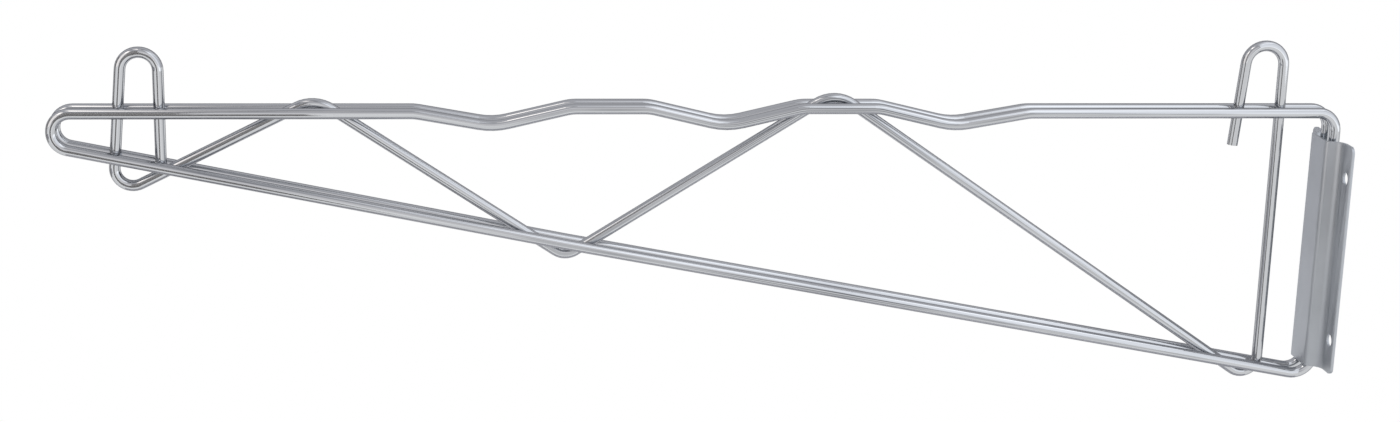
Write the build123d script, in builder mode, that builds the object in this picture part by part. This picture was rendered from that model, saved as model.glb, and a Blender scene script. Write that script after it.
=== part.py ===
"""Cantilever shelf arm: two bent side rods, one bent truss wire and a folded wall plate, welded together.

Frame, in mm: X = 0 is the wall, the arm reaches out along -X, +Z is up.
Y = 0 is the middle plane of the arm and the origin is the middle of the four screw holes.
"""
from build123d import *
from math import atan, degrees, radians, sqrt, tan
import os

os.makedirs("parts", exist_ok=True)

# Stock and clearances
wire_d = 5.56          # round wire of the rods and of the truss
sheet_t = 1.5          # sheet of the wall plate
weld_gap = 0.02        # clearance between faces that are welded together
wall_gap = 0.2         # clearance between the rods and the wall

# Wall plate
plate_h = 123.0        # height of the plate
plate_w = 54.0         # width over both flanges
web_w = 21.0           # width of the front web, outside
wall_run = 3.4         # how far each side wall slopes outwards
web_bend = 2.4         # bends beside the web, on the middle of the sheet
flange_bend = 6.5      # bends beside the flanges, on the middle of the sheet
plate_corner = 3.5     # rounded corners of the flanges
hole_d = 6.8           # screw holes
hole_edge = 6.0        # middle of each hole in from the side of the plate
hole_pitch_z = 88.0    # between the two rows of holes

# Reach of the arm
rear_leg_x = 31.9      # straight leg of the rear loop, from the wall
loop_pitch = 573.1     # between the straight legs of the two loops
nose_over = 51.5       # nose beyond the straight leg of the front loop

# Side rods
rail_over = 14.0       # top rail above the top of the plate
nose_drop = 16.9       # from the rail down to the lower run, at the nose
heel_under = 7.8       # corner of the lower run below the bottom of the plate
end_bend = 9.5         # upper bend at the wall end
heel_bend = 11.0       # lower bend at the wall end
run_sag = 1.8          # lower run below its straight line, where the truss crosses it
run_bend = 60.0        # bend radius of the lower run at that place
end_slit = 3.0         # slit between the two rod ends behind the plate
dip_mid_share = 0.509  # middle one of the three dips, as a share of the pitch of the loops
dip_pitch = 117.5      # from dip to dip
dip_ramp = 39.0        # length of each slope of a dip
dip_depth = 6.8        # dip below the rail
crest_rise = 2.4       # crests between the dips, above the rail
dip_bend = 36.0        # bend radius at the bottom of a dip
crest_bend = 24.0      # bend radius at the top of a slope

# Truss wire
front_loop_r = 9.0     # bend radius of the front loop
front_loop_z = 29.6    # top of the front loop above the rail
rear_loop_r = 10.0     # bend radius of the rear loop
rear_loop_z = 34.4     # top of the rear loop above the rail
leg_lean = 4.9         # lean of the other leg of each loop, in degrees
loop_flat = 0.3        # short straight at the top of each loop
rear_tail = 18.1       # free end of the rear loop below the rail
front_tail = 1.0       # end of the front loop below the lower run
hump_1_share = 0.868   # first crossing of the rail, as a share of the pitch of the loops
hump_1_rise = 6.5      # corner of the bend above the rail
hump_2_share = 0.4115  # second crossing of the rail
hump_2_rise = 9.9      # corner of the bend above the rail
hump_bend = 17.0       # bend radius over the rail
low_share = 0.65       # crossing of the lower run
low_drop = 7.9         # corner of the bend below the lower run
low_bend = 9.3         # bend radius under the lower run
turn_drop = 19.9       # corner of the front turn below the lower run
heel_drop = 11.6       # corner of the rear turn below the lower run
turn_bend = 8.7        # bend radius of the front and rear turns

# Values that follow from the ones above
wire_r = wire_d / 2
hole_pitch_y = plate_w - 2 * hole_edge
rod_y = wire_d + weld_gap
rod_x = wire_r + wall_gap
front_loop_x = rear_leg_x + loop_pitch
nose_x = front_loop_x + nose_over
dip_mid_x = rear_leg_x + dip_mid_share * loop_pitch
hump_1_x = rear_leg_x + hump_1_share * loop_pitch
hump_2_x = rear_leg_x + hump_2_share * loop_pitch
low_x = rear_leg_x + low_share * loop_pitch
rail_z = plate_h / 2 + rail_over
heel_z = -(plate_h / 2 + heel_under)
nose_z = rail_z - nose_drop
sag_z = heel_z + (nose_z - heel_z) * (low_x - rod_x) / (nose_x - rod_x) - run_sag
rear_slope = (sag_z - heel_z) / (low_x - rod_x)
front_slope = (nose_z - sag_z) / (nose_x - low_x)
rear_angle = degrees(atan(rear_slope))
front_angle = degrees(atan(front_slope))
bend_inside = heel_bend - wire_r
bend_reach = max(0, heel_bend * tan(radians((90 + rear_angle) / 2)) - heel_under)
web_stand = bend_inside - sqrt(bend_inside ** 2 - bend_reach ** 2)
web_back = wall_gap + wire_d + web_stand + weld_gap
nose_r = (nose_drop - loop_flat) / (1 + tan(radians((90 - front_angle) / 2)))


def lower_z(x):
    """Height of the lower run at the distance x from the wall."""
    return sag_z + (rear_slope if x < low_x else front_slope) * (x - low_x)


def loop_width(radius):
    """Width between the two corners of a loop with one straight and one leaning leg."""
    return radius * (1 + tan(radians((90 - leg_lean) / 2))) + loop_flat


# The path of a side rod, from its upper end behind the plate round to its lower end
dip_floor = rail_z - dip_depth
crest_z = rail_z + crest_rise
rod_points = [
    (-rod_x, end_slit / 2),
    (-rod_x, rail_z),
    (-(dip_mid_x - dip_pitch - dip_ramp), rail_z),
    (-(dip_mid_x - dip_pitch), dip_floor),
    (-(dip_mid_x - dip_pitch + dip_ramp), crest_z),
    (-(dip_mid_x - dip_ramp), crest_z),
    (-dip_mid_x, dip_floor),
    (-(dip_mid_x + dip_ramp), crest_z),
    (-(dip_mid_x + dip_pitch - dip_ramp), crest_z),
    (-(dip_mid_x + dip_pitch), dip_floor),
    (-(dip_mid_x + dip_pitch + dip_ramp), rail_z),
    (-nose_x, rail_z),
    (-nose_x, nose_z),
    (-low_x, sag_z),
    (-rod_x, heel_z),
    (-rod_x, -end_slit / 2),
]
dip_radii = [crest_bend, dip_bend, crest_bend]
rod_radii = [end_bend] + dip_radii * 3 + [nose_r, nose_r, run_bend, heel_bend]

# The path of the truss wire, from the welded end at the front to the free end at the rear
front_top = rail_z + front_loop_z
rear_top = rail_z + rear_loop_z
front_far_x = front_loop_x + loop_width(front_loop_r)
rear_far_x = rear_leg_x + loop_width(rear_loop_r)
turn_z = lower_z(front_far_x) - turn_drop
turn_x = front_far_x + (front_top - turn_z) * tan(radians(leg_lean))
tail_z = rail_z - rear_tail
tail_x = rear_far_x + (rear_top - tail_z) * tan(radians(leg_lean))
truss_points = [
    (-front_loop_x, lower_z(front_loop_x) - front_tail),
    (-front_loop_x, front_top),
    (-front_far_x, front_top),
    (-turn_x, turn_z),
    (-hump_1_x, rail_z + hump_1_rise),
    (-low_x, lower_z(low_x) - low_drop),
    (-hump_2_x, rail_z + hump_2_rise),
    (-rear_leg_x, lower_z(rear_leg_x) - heel_drop),
    (-rear_leg_x, rear_top),
    (-rear_far_x, rear_top),
    (-tail_x, tail_z),
]
truss_radii = [front_loop_r, front_loop_r, turn_bend, hump_bend, low_bend, hump_bend, turn_bend]
truss_radii = truss_radii + [rear_loop_r, rear_loop_r]

with BuildPart() as side_rod_near:
    with BuildLine(Plane.XZ.offset(rod_y)) as near_path:
        FilletPolyline(*rod_points, radius=rod_radii)
    with BuildSketch(Plane(near_path.line @ 0, z_dir=near_path.line % 0)):
        Circle(wire_r)
    sweep(path=near_path.line)
side_rod_near.part.label = "side_rod_near"
export_step(side_rod_near.part, "parts/side_rod_near.step")

with BuildPart() as side_rod_far:
    with BuildLine(Plane.XZ.offset(-rod_y)) as far_path:
        FilletPolyline(*rod_points, radius=rod_radii)
    with BuildSketch(Plane(far_path.line @ 0, z_dir=far_path.line % 0)):
        Circle(wire_r)
    sweep(path=far_path.line)
side_rod_far.part.label = "side_rod_far"
export_step(side_rod_far.part, "parts/side_rod_far.step")

with BuildPart() as truss_wire:
    with BuildLine(Plane.XZ) as truss_path:
        FilletPolyline(*truss_points, radius=truss_radii)
    with BuildSketch(Plane(truss_path.line @ 0, z_dir=truss_path.line % 0)):
        Circle(wire_r)
    sweep(path=truss_path.line)
truss_wire.part.label = "truss_wire"
export_step(truss_wire.part, "parts/truss_wire.step")

# The plate is drawn along the middle of its sheet, across the arm, and pulled to its height
flange_mid = -sheet_t / 2
web_mid = -(web_back + sheet_t / 2)
web_half = (web_w - sheet_t) / 2
plate_points = [
    (flange_mid, -plate_w / 2),
    (flange_mid, -(web_half + wall_run)),
    (web_mid, -web_half),
    (web_mid, web_half),
    (flange_mid, web_half + wall_run),
    (flange_mid, plate_w / 2),
]
with BuildPart() as wall_plate:
    with BuildSketch(Plane.XY):
        with BuildLine() as fold_path:
            FilletPolyline(*plate_points, radius=[flange_bend, web_bend, web_bend, flange_bend])
        trace(fold_path.line, line_width=sheet_t)
    extrude(amount=plate_h / 2, both=True)
    outer_edges = wall_plate.edges().filter_by(Axis.X).group_by(Axis.Y)
    fillet(outer_edges[0] + outer_edges[-1], radius=plate_corner)
    with Locations(Plane.YZ):
        with GridLocations(hole_pitch_y, hole_pitch_z, 2, 2):
            Cylinder(hole_d / 2, 4 * sheet_t, mode=Mode.SUBTRACT)
wall_plate.part.label = "wall_plate"
export_step(wall_plate.part, "parts/wall_plate.step")
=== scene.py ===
"""Cantilever shelf arm: two bent side rods, one bent truss wire and a folded wall plate, welded and plated.

Metres, in the CAD frame: X = 0 is the wall, the arm reaches out along -X, +Z is up.
"""
import math
import bmesh
import bpy
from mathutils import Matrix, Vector, noise


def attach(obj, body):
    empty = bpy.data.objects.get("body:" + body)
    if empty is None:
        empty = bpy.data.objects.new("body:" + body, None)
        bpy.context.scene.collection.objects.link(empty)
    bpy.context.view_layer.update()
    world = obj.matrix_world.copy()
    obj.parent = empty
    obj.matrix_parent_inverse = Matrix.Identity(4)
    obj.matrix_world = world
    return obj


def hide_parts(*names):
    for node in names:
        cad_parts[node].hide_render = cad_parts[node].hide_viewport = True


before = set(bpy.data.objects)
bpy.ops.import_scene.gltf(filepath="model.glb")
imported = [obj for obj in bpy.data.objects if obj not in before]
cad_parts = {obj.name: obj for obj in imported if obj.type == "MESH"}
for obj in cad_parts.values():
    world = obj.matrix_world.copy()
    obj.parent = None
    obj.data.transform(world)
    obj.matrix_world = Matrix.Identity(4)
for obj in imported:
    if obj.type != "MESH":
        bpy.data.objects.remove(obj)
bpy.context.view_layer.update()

# Side rods: two alike lengths of drawn steel wire, bent cold over pins to the arm's whole outline.
# They stand side by side with the truss wire between them, and were plated after welding.
MM = 0.001
WIRE_R = 2.78 * MM


def linear(hex_colour):
    """Turns an sRGB hex colour into the linear RGBA that a socket takes."""
    channels = [int(hex_colour[i:i + 2], 16) / 255 for i in (1, 3, 5)]
    return [c / 12.92 if c <= 0.04045 else ((c + 0.055) / 1.055) ** 2.4 for c in channels] + [1.0]


def new_material(name):
    """Makes a material with an empty node tree."""
    material = bpy.data.materials.new(name)
    material.use_nodes = True
    material.node_tree.nodes.clear()
    return material


def add_node(tree, kind, settings=None, links=None):
    """Adds a node, sets its inputs and properties, and links its inputs from other sockets."""
    node = tree.nodes.new(kind)
    for name, value in (settings or {}).items():
        if isinstance(name, int) or name in node.inputs:
            node.inputs[name].default_value = value
        else:
            setattr(node, name, value)
    for name, source in (links or {}).items():
        tree.links.new(source, node.inputs[name])
    return node


# Bright chromium over nickel on drawn wire: a cool mirror that shows the studio as lines along the wire,
# and a little darker where it is seen at a glancing angle.
# The drawing die leaves fine lines that run with the wire, and a faint haze lies on the plating in patches.
# Real die lines are nearer 0.1 mm apart: they are drawn coarser here so that they show.
# Their dark colour is partly painted reflection: dark streaks of the studio laid along the wire.
CHROME_BRIGHT = "#d0d2d5"
CHROME_PLAIN = "#c0c2c5"
CHROME_DIE_LINES_AND_PAINTED_STREAKS = "#84868b"
CHROME_GLANCING = "#a8a8ac"
CHROME_ROUGH = (0.04, 0.08)
DIE_LINES_AND_PAINTED_STREAKS_AT = 0.34
PLAIN_AT = 0.44
BRIGHT_AT = 0.62
DIE_LINE_MM = 1.1
DIE_RUN_MM = 220.0
HAZE_MM = 14.0
HAZE_BAND = (0.35, 0.7)
WAVE_MM = 9.0
WAVE_DEEP_MM = 0.1
WAVE_SHARE = 0.02
chrome = new_material("chrome_plated_drawn_wire")
tree = chrome.node_tree
place = add_node(tree, "ShaderNodeTexCoord")
# Each wire lies in one upright plane, so the Y of its normal gives the place round the wire at every bend.
facing = add_node(tree, "ShaderNodeSeparateXYZ", links={0: place.outputs["Normal"]})
turned = add_node(tree, "ShaderNodeMath", {"operation": "ARCCOSINE"}, {0: facing.outputs["Y"]})
across = add_node(tree, "ShaderNodeMath", {"operation": "MULTIPLY", 1: WIRE_R / (DIE_LINE_MM * MM)},
                  {0: turned.outputs[0]})
spot = add_node(tree, "ShaderNodeSeparateXYZ", links={0: place.outputs["Object"]})
along = add_node(tree, "ShaderNodeMath", {"operation": "MULTIPLY", 1: 1 / (DIE_RUN_MM * MM)},
                 {0: spot.outputs["X"]})
drawn = add_node(tree, "ShaderNodeCombineXYZ", links={"X": across.outputs[0], "Y": along.outputs[0]})
lines = add_node(tree, "ShaderNodeTexNoise", {"Scale": 1.0, "Detail": 3.0, "Roughness": 0.6},
                 {"Vector": drawn.outputs[0]})
# The ramp darkens the die lines: partly the wire's own lines, partly painted reflection streaks.
tint = add_node(tree, "ShaderNodeValToRGB", links={"Fac": lines.outputs["Fac"]})
tint.color_ramp.elements[0].position = DIE_LINES_AND_PAINTED_STREAKS_AT
tint.color_ramp.elements[0].color = linear(CHROME_DIE_LINES_AND_PAINTED_STREAKS)
tint.color_ramp.elements[1].position = BRIGHT_AT
tint.color_ramp.elements[1].color = linear(CHROME_BRIGHT)
tint.color_ramp.elements.new(PLAIN_AT).color = linear(CHROME_PLAIN)
haze = add_node(tree, "ShaderNodeTexNoise", {"Scale": 1 / (HAZE_MM * MM), "Detail": 4.0},
                {"Vector": place.outputs["Object"]})
dull = add_node(tree, "ShaderNodeMapRange",
                {"From Min": HAZE_BAND[0], "From Max": HAZE_BAND[1],
                 "To Min": CHROME_ROUGH[0], "To Max": CHROME_ROUGH[1]},
                {"Value": haze.outputs["Fac"]})
wave = add_node(tree, "ShaderNodeTexNoise", {"Scale": 1 / (WAVE_MM * MM), "Detail": 2.0},
                {"Vector": place.outputs["Object"]})
relief = add_node(tree, "ShaderNodeBump", {"Strength": WAVE_SHARE, "Distance": WAVE_DEEP_MM * MM},
                  {"Height": wave.outputs["Fac"]})
metal = add_node(tree, "ShaderNodeBsdfPrincipled",
                 {"Metallic": 1.0, "Specular Tint": linear(CHROME_GLANCING)},
                 {"Base Color": tint.outputs["Color"], "Roughness": dull.outputs["Result"],
                  "Normal": relief.outputs["Normal"]})
add_node(tree, "ShaderNodeOutputMaterial", links={"Surface": metal.outputs["BSDF"]})
for rod in ("side_rod_near", "side_rod_far"):
    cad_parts[rod].data.materials.clear()
    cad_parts[rod].data.materials.append(chrome)

# Truss wire: one length of the same wire, bent in one plane from the front loop to the free end at the rear.
# Its two upright loops take the shelf's corner collars, and it has the same plating as the rods.
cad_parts["truss_wire"].data.materials.clear()
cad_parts["truss_wire"].data.materials.append(chrome)

# Wall plate: one strip of steel sheet folded to a shallow hat, pierced with four screw holes.
# Satin plated, and welded on over the ends of the rods. The press leaves its sheared edges slightly eased.
EASE_MM = 0.3
EASE_STEPS = 2
EASE_ROUND = 0.5
SAME_POINT_MM = 0.001
SHEARED_ANGLE = math.radians(40)
FLAT_ANGLE = math.radians(0.5)
plate_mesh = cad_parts["wall_plate"].data.copy()
plate_mesh.name = "plate_eased"
shape = bmesh.new()
shape.from_mesh(plate_mesh)
bmesh.ops.remove_doubles(shape, verts=shape.verts, dist=SAME_POINT_MM * MM)
bmesh.ops.dissolve_limit(shape, angle_limit=FLAT_ANGLE, verts=shape.verts, edges=shape.edges)
sheared = [e for e in shape.edges if len(e.link_faces) == 2 and e.calc_face_angle() > SHEARED_ANGLE]
bmesh.ops.bevel(shape, geom=sheared, offset=EASE_MM * MM, segments=EASE_STEPS, profile=EASE_ROUND,
                affect="EDGES", clamp_overlap=True)
for face in shape.faces:
    face.smooth = True
shape.to_mesh(plate_mesh)
shape.free()
plate_mesh.set_sharp_from_angle(angle=SHEARED_ANGLE)
plate = bpy.data.objects.new("plate_eased", plate_mesh)
bpy.context.collection.objects.link(plate)

# Satin chromium on rolled sheet: a soft grey sheen with no clear reflections, faintly clouded by the bath.
# The grit of the satin is nearer 0.05 mm: it is drawn coarser here so that it shows.
SATIN_LIGHT = "#bcc0c5"
SATIN_DARK = "#b4b8bd"
SATIN_ROUGH = (0.42, 0.48)
GRIT_MM = 0.5
GRIT_DEEP_MM = 0.05
GRIT_SHARE = 0.1
CLOUD_MM = 30.0
CLOUD_BAND = (0.3, 0.7)
CLOUD_DARK_AT = 0.35
CLOUD_LIGHT_AT = 0.65
satin = new_material("satin_plated_folded_sheet")
tree = satin.node_tree
place = add_node(tree, "ShaderNodeTexCoord")
grit = add_node(tree, "ShaderNodeTexNoise", {"Scale": 1 / (GRIT_MM * MM), "Detail": 2.0},
                {"Vector": place.outputs["Object"]})
cloud = add_node(tree, "ShaderNodeTexNoise", {"Scale": 1 / (CLOUD_MM * MM), "Detail": 3.0},
                 {"Vector": place.outputs["Object"]})
tint = add_node(tree, "ShaderNodeValToRGB", links={"Fac": cloud.outputs["Fac"]})
tint.color_ramp.elements[0].position = CLOUD_DARK_AT
tint.color_ramp.elements[0].color = linear(SATIN_DARK)
tint.color_ramp.elements[1].position = CLOUD_LIGHT_AT
tint.color_ramp.elements[1].color = linear(SATIN_LIGHT)
dull = add_node(tree, "ShaderNodeMapRange",
                {"From Min": CLOUD_BAND[0], "From Max": CLOUD_BAND[1],
                 "To Min": SATIN_ROUGH[0], "To Max": SATIN_ROUGH[1]},
                {"Value": cloud.outputs["Fac"]})
relief = add_node(tree, "ShaderNodeBump", {"Strength": GRIT_SHARE, "Distance": GRIT_DEEP_MM * MM},
                  {"Height": grit.outputs["Fac"]})
metal = add_node(tree, "ShaderNodeBsdfPrincipled", {"Metallic": 1.0},
                 {"Base Color": tint.outputs["Color"], "Roughness": dull.outputs["Result"],
                  "Normal": relief.outputs["Normal"]})
add_node(tree, "ShaderNodeOutputMaterial", links={"Surface": metal.outputs["BSDF"]})
plate_mesh.materials.clear()
plate_mesh.materials.append(satin)
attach(plate, "root")
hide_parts("wall_plate")

# Welds: at each crossing the truss wire was pressed between the rods and resistance welded to both.
# The metal squeezed out stands as a low ragged collar in the crevice between the two wires.
# The corners of the wires are in mm, outwards from the wall and upwards; the rest is in mm as well.
FRONT_LEG_X = 605.0
FRONT_FAR_X = 622.6
FRONT_TOP_Z = 105.1
FRONT_END_Z = 47.1
FRONT_TURN = (628.8, 31.8)
FRONT_HUMP = (529.4, 82.0)
LOW_TURN = (404.4, -0.4)
REAR_HUMP = (267.7, 85.4)
REAR_LEG_X = 31.9
REAR_FAR_X = 51.4
REAR_TOP_Z = 109.9
REAR_TURN_Z = -75.4
FREE_END = (55.9, 57.4)
ROD_END_X = 3.0
NOSE_X = 656.5
NOSE_Z = 58.6
RAIL_Z = 75.5
CREST_Z = 77.9
CREST_FROM = 245.0
CREST_TO = 284.7
CREST_STEP = 0.1
SAG = (404.4, 7.5)
HEEL_Z = -69.3
ROD_Y = 5.58
TRUSS = ((FRONT_LEG_X, FRONT_END_Z), (FRONT_LEG_X, FRONT_TOP_Z), (FRONT_FAR_X, FRONT_TOP_Z), FRONT_TURN,
         FRONT_HUMP, LOW_TURN, REAR_HUMP, (REAR_LEG_X, REAR_TURN_Z), (REAR_LEG_X, REAR_TOP_Z),
         (REAR_FAR_X, REAR_TOP_Z), FREE_END)
RAIL = ((ROD_END_X, RAIL_Z), (CREST_FROM, RAIL_Z), (CREST_FROM + CREST_STEP, CREST_Z),
        (CREST_TO - CREST_STEP, CREST_Z), (CREST_TO, RAIL_Z), (NOSE_X, RAIL_Z))
RUN = ((ROD_END_X, HEEL_Z), SAG, (NOSE_X, NOSE_Z))
WIRE_R_MM = WIRE_R / MM
# A collar fills the crevice out to where the two wires stand COLLAR_RISE apart, and sinks a little into both.
COLLAR_RISE = 1.0
COLLAR_CORE = 0.5
COLLAR_REACH = 3.6
COLLAR_SINK = 0.25
COLLAR_WAIST = 0.14
COLLAR_RAGGED = 0.12
COLLAR_LOBE = 2.0
COLLAR_APART = 3.0
COLLAR_STEPS = 28
COLLAR_BANDS = 5
SEARCH_STEP = 0.05
PARALLEL = 1e-6


def crossing(a, b, c, d):
    """Where the straight a-b meets the straight c-d, or None."""
    u = (b[0] - a[0], b[1] - a[1])
    v = (d[0] - c[0], d[1] - c[1])
    turn = u[0] * v[1] - u[1] * v[0]
    if abs(turn) < PARALLEL:
        return None
    s = ((c[0] - a[0]) * v[1] - (c[1] - a[1]) * v[0]) / turn
    t = ((c[0] - a[0]) * u[1] - (c[1] - a[1]) * u[0]) / turn
    return (a[0] + s * u[0], a[1] + s * u[1]) if 0 <= s <= 1 and 0 <= t < 1 else None


def heading(a, b):
    """Direction of the straight a-b, seen from the near side."""
    return math.atan2(b[1] - a[1], a[0] - b[0])


def fall(off):
    """How far a round wire's surface falls away at this distance from its middle line."""
    return WIRE_R_MM - math.sqrt(max(WIRE_R_MM ** 2 - off ** 2, 0.0))


places = []
for a, b in zip(TRUSS, TRUSS[1:]):
    for path in (RAIL, RUN):
        for c, d in zip(path, path[1:]):
            at = crossing(a, b, c, d)
            if at:
                places.append((at, heading(a, b), heading(c, d)))
shape = bmesh.new()
for (reach_x, height), truss_way, rod_way in places:
    for side in (-1, 1):
        rings = []
        for i in range(COLLAR_STEPS):
            way = 2 * math.pi * i / COLLAR_STEPS
            off_truss = abs(math.sin(way - truss_way))
            off_rod = abs(math.sin(way - rod_way))
            out = COLLAR_CORE
            while out < COLLAR_REACH and fall(out * off_truss) + fall(out * off_rod) < COLLAR_RISE:
                out += SEARCH_STEP
            lobe = (reach_x + COLLAR_LOBE * math.cos(way), height + COLLAR_LOBE * math.sin(way),
                    side * COLLAR_APART)
            out *= 1 + COLLAR_RAGGED * noise.noise(lobe)
            low = WIRE_R_MM - fall(out * off_truss) - COLLAR_SINK
            high = ROD_Y - WIRE_R_MM + fall(out * off_rod) + COLLAR_SINK
            ring = []
            for k in range(COLLAR_BANDS + 1):
                share = k / COLLAR_BANDS
                far = out * (1 - COLLAR_WAIST * math.sin(math.pi * share))
                point = (far * math.cos(way) - reach_x, side * (low + (high - low) * share),
                         far * math.sin(way) + height)
                ring.append(shape.verts.new(Vector(point) * MM))
            rings.append(ring)
        for i in range(COLLAR_STEPS):
            one, two = rings[i - 1], rings[i]
            for k in range(COLLAR_BANDS):
                shape.faces.new((one[k], two[k], two[k + 1], one[k + 1]))
        shape.faces.new([ring[0] for ring in rings])
        shape.faces.new([ring[-1] for ring in rings])
bmesh.ops.recalc_face_normals(shape, faces=shape.faces)
for face in shape.faces:
    face.smooth = len(face.verts) == 4
weld_mesh = bpy.data.meshes.new("weld_collars")
shape.to_mesh(weld_mesh)
shape.free()
welds = bpy.data.objects.new("weld_collars", weld_mesh)
bpy.context.collection.objects.link(welds)

# Weld metal under thin plating: rougher than the drawn wire, with a spattered grain.
# Its colour is darker than the wire, mostly as painted shade for the crevice the collar fills.
WELD_LIGHT_WITH_PAINTED_SHADE = "#94959c"
WELD_DARK_WITH_PAINTED_SHADE = "#5d5e66"
SPATTER_MM = 0.6
SPATTER_DEEP_MM = 0.2
SPATTER_SHARE = 0.4
WELD_ROUGH = (0.25, 0.5)
weld_metal = new_material("plated_weld_metal_and_painted_shade")
tree = weld_metal.node_tree
place = add_node(tree, "ShaderNodeTexCoord")
grain = add_node(tree, "ShaderNodeTexNoise", {"Scale": 1 / (SPATTER_MM * MM), "Detail": 3.0},
                 {"Vector": place.outputs["Object"]})
tint = add_node(tree, "ShaderNodeValToRGB", links={"Fac": grain.outputs["Fac"]})
tint.color_ramp.elements[0].color = linear(WELD_DARK_WITH_PAINTED_SHADE)
tint.color_ramp.elements[1].color = linear(WELD_LIGHT_WITH_PAINTED_SHADE)
dull = add_node(tree, "ShaderNodeMapRange", {"To Min": WELD_ROUGH[0], "To Max": WELD_ROUGH[1]},
                {"Value": grain.outputs["Fac"]})
relief = add_node(tree, "ShaderNodeBump", {"Strength": SPATTER_SHARE, "Distance": SPATTER_DEEP_MM * MM},
                  {"Height": grain.outputs["Fac"]})
metal = add_node(tree, "ShaderNodeBsdfPrincipled", {"Metallic": 1.0},
                 {"Base Color": tint.outputs["Color"], "Roughness": dull.outputs["Result"],
                  "Normal": relief.outputs["Normal"]})
add_node(tree, "ShaderNodeOutputMaterial", links={"Surface": metal.outputs["BSDF"]})
weld_mesh.materials.append(weld_metal)
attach(welds, "root")

# Studio: a pale floor well below the arm, with six cloth cards and eight soft panels round it.
# The floor shows white to the camera and in the plating, and is lit as a pale floor otherwise.
# The cards give the plating its greys; those at the nose end are a little warm, as the panels there are.
FLOOR_Z = -0.9
FLOOR_HALF = 40.0
FLOOR_LIT = "#e6e6e6"
FLOOR_SEEN = "#ffffff"
floor_mesh = bpy.data.meshes.new("floor")
corner_signs = ((-1, -1), (1, -1), (1, 1), (-1, 1))
floor_corners = [(x * FLOOR_HALF, y * FLOOR_HALF, FLOOR_Z) for x, y in corner_signs]
floor_mesh.from_pydata(floor_corners, [], [(0, 1, 2, 3)])
floor = bpy.data.objects.new("floor", floor_mesh)
bpy.context.collection.objects.link(floor)
pale = new_material("pale_studio_floor")
tree = pale.node_tree
ray = add_node(tree, "ShaderNodeLightPath")
seen = add_node(tree, "ShaderNodeMath", {"operation": "MAXIMUM"},
                {0: ray.outputs["Is Camera Ray"], 1: ray.outputs["Is Glossy Ray"]})
seen = add_node(tree, "ShaderNodeMath", {"operation": "MAXIMUM"},
                {0: seen.outputs[0], 1: ray.outputs["Is Transmission Ray"]})
lit = add_node(tree, "ShaderNodeBsdfDiffuse", {"Color": linear(FLOOR_LIT)})
white = add_node(tree, "ShaderNodeEmission", {"Color": linear(FLOOR_SEEN), "Strength": 1.0})
mixed = add_node(tree, "ShaderNodeMixShader",
                 links={0: seen.outputs[0], 1: lit.outputs[0], 2: white.outputs[0]})
add_node(tree, "ShaderNodeOutputMaterial", links={"Surface": mixed.outputs[0]})
floor_mesh.materials.append(pale)

# Each card: its cloth colour and its two opposite corners, in metres.
CLOTH_ROUGH = 0.9
for name, cloth, low, high in (
    ("card_left", "#c3c1be", (-2.2, -0.35, FLOOR_Z), (-2.2, 0.9, 0.9)),
    ("card_front", "#a8a6a3", (-1.25, -1.3, FLOOR_Z), (-0.6, -1.3, 0.05)),
    ("card_hood", "#b7b5b2", (-1.4, -1.35, 0.05), (-0.74, -1.35, 1.2)),
    ("card_back", "#f2f2f4", (-2.0, 1.5, FLOOR_Z), (0.6, 1.5, 0.45)),
    ("card_floor", "#dedee2", (-4.3, -2.1, FLOOR_Z + 0.01), (-2.6, 0.2, FLOOR_Z + 0.01)),
    # The card under the arm stands, in the plating, for the arm's shade on the floor below: painted shade.
    ("card_under_painted_shade", "#d8d8db", (-0.9, -0.3, -0.6), (0.25, 0.3, -0.6)),
):
    run, rise = [axis for axis in range(3) if low[axis] != high[axis]]
    corners = [list(low) for _ in range(4)]
    corners[1][run] = corners[2][run] = high[run]
    corners[2][rise] = corners[3][rise] = high[rise]
    card_mesh = bpy.data.meshes.new(name)
    card_mesh.from_pydata(corners, [], [(0, 1, 2, 3)])
    card_cloth = new_material(name + "_cloth")
    tree = card_cloth.node_tree
    woven = add_node(tree, "ShaderNodeBsdfPrincipled",
                     {"Base Color": linear(cloth), "Roughness": CLOTH_ROUGH})
    add_node(tree, "ShaderNodeOutputMaterial", links={"Surface": woven.outputs["BSDF"]})
    card_mesh.materials.append(card_cloth)
    card = bpy.data.objects.new(name, card_mesh)
    card.visible_camera = False
    bpy.context.collection.objects.link(card)

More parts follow.
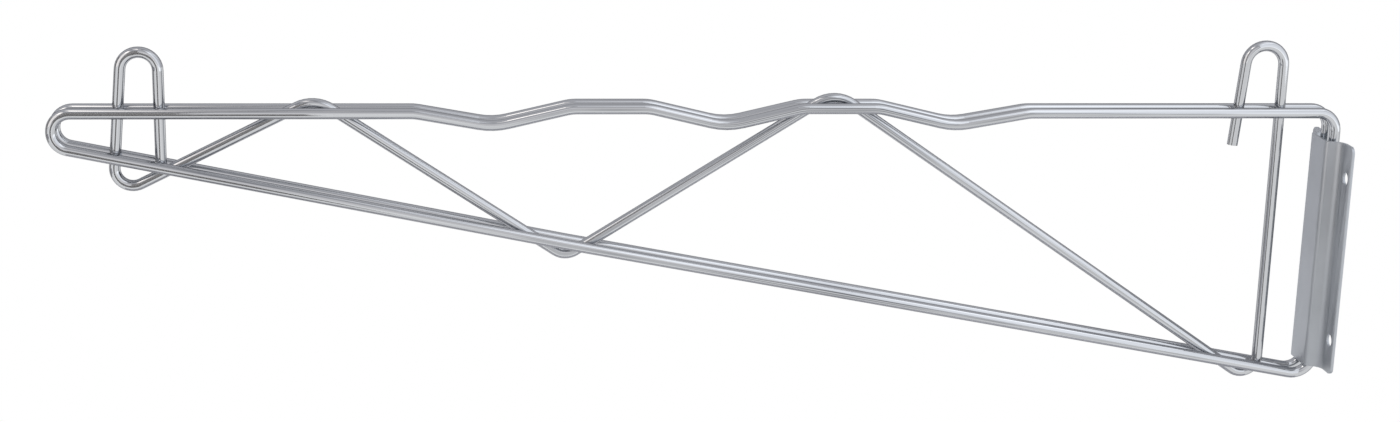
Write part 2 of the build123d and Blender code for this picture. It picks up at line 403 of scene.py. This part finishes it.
# Each panel: its light colour, its middle, its width and height in metres, and its strength.
AIM = Vector((-0.33, 0.0, 0.02))
for name, light, where, width, height, radiance in (
    ("panel_left", "#fff5ea", (-1.82, -0.82, 0.68), 1.15, 1.33, 0.8),
    ("panel_front", "#fffaf4", (-0.33, -1.5, 0.45), 0.95, 1.0, 0.28),
    ("panel_right", "#f5faff", (0.83, -0.81, 0.72), 2.1, 2.1, 0.65),
    ("panel_top", "#f8fbff", (0.25, -0.45, 1.5), 1.3, 0.8, 0.5),
    ("panel_strip", "#fff6ec", (-0.72, -0.6, 1.4), 0.45, 0.2, 0.65),
    ("panel_peak", "#fff6ec", (-1.69, -0.78, 1.46), 0.55, 0.45, 1.4),
    ("panel_nose", "#fff6ec", (-0.88, -0.36, 1.4), 0.5, 0.3, 1.6),
    ("panel_back", "#ffffff", (-0.7, 1.4, -0.25), 2.4, 1.2, 0.18),
):
    lamp = bpy.data.lights.new(name, "AREA")
    lamp.shape = "RECTANGLE"
    lamp.size = width
    lamp.size_y = height
    lamp.color = linear(light)[:3]
    lamp.energy = radiance * math.pi * width * height
    panel = bpy.data.objects.new(name, lamp)
    panel.location = where
    panel.rotation_euler = (AIM - Vector(where)).to_track_quat("-Z", "Y").to_euler()
    panel.visible_camera = False
    bpy.context.collection.objects.link(panel)

ROOM = "#c8c8cc"
world = bpy.data.worlds.new("studio_room")
world.use_nodes = True
world.node_tree.nodes["Background"].inputs["Color"].default_value = linear(ROOM)
bpy.context.scene.world = world

# Camera: in front of the arm and a little above it, towards the nose end and turned back to the wall.
LENS_MM = 58.3
SENSOR_MM = 36.0
STAND = (-0.47304, -1.11497, 0.31977)
TURN_DEGREES = (75.204, -1.422, -6.659)
camera = bpy.data.objects.new("camera", bpy.data.cameras.new("camera"))
camera.data.sensor_width = SENSOR_MM
camera.data.lens = LENS_MM
camera.location = STAND
camera.rotation_euler = [math.radians(angle) for angle in TURN_DEGREES]
bpy.context.collection.objects.link(camera)
bpy.context.scene.camera = camera
bpy.context.scene.view_settings.view_transform = "Standard"
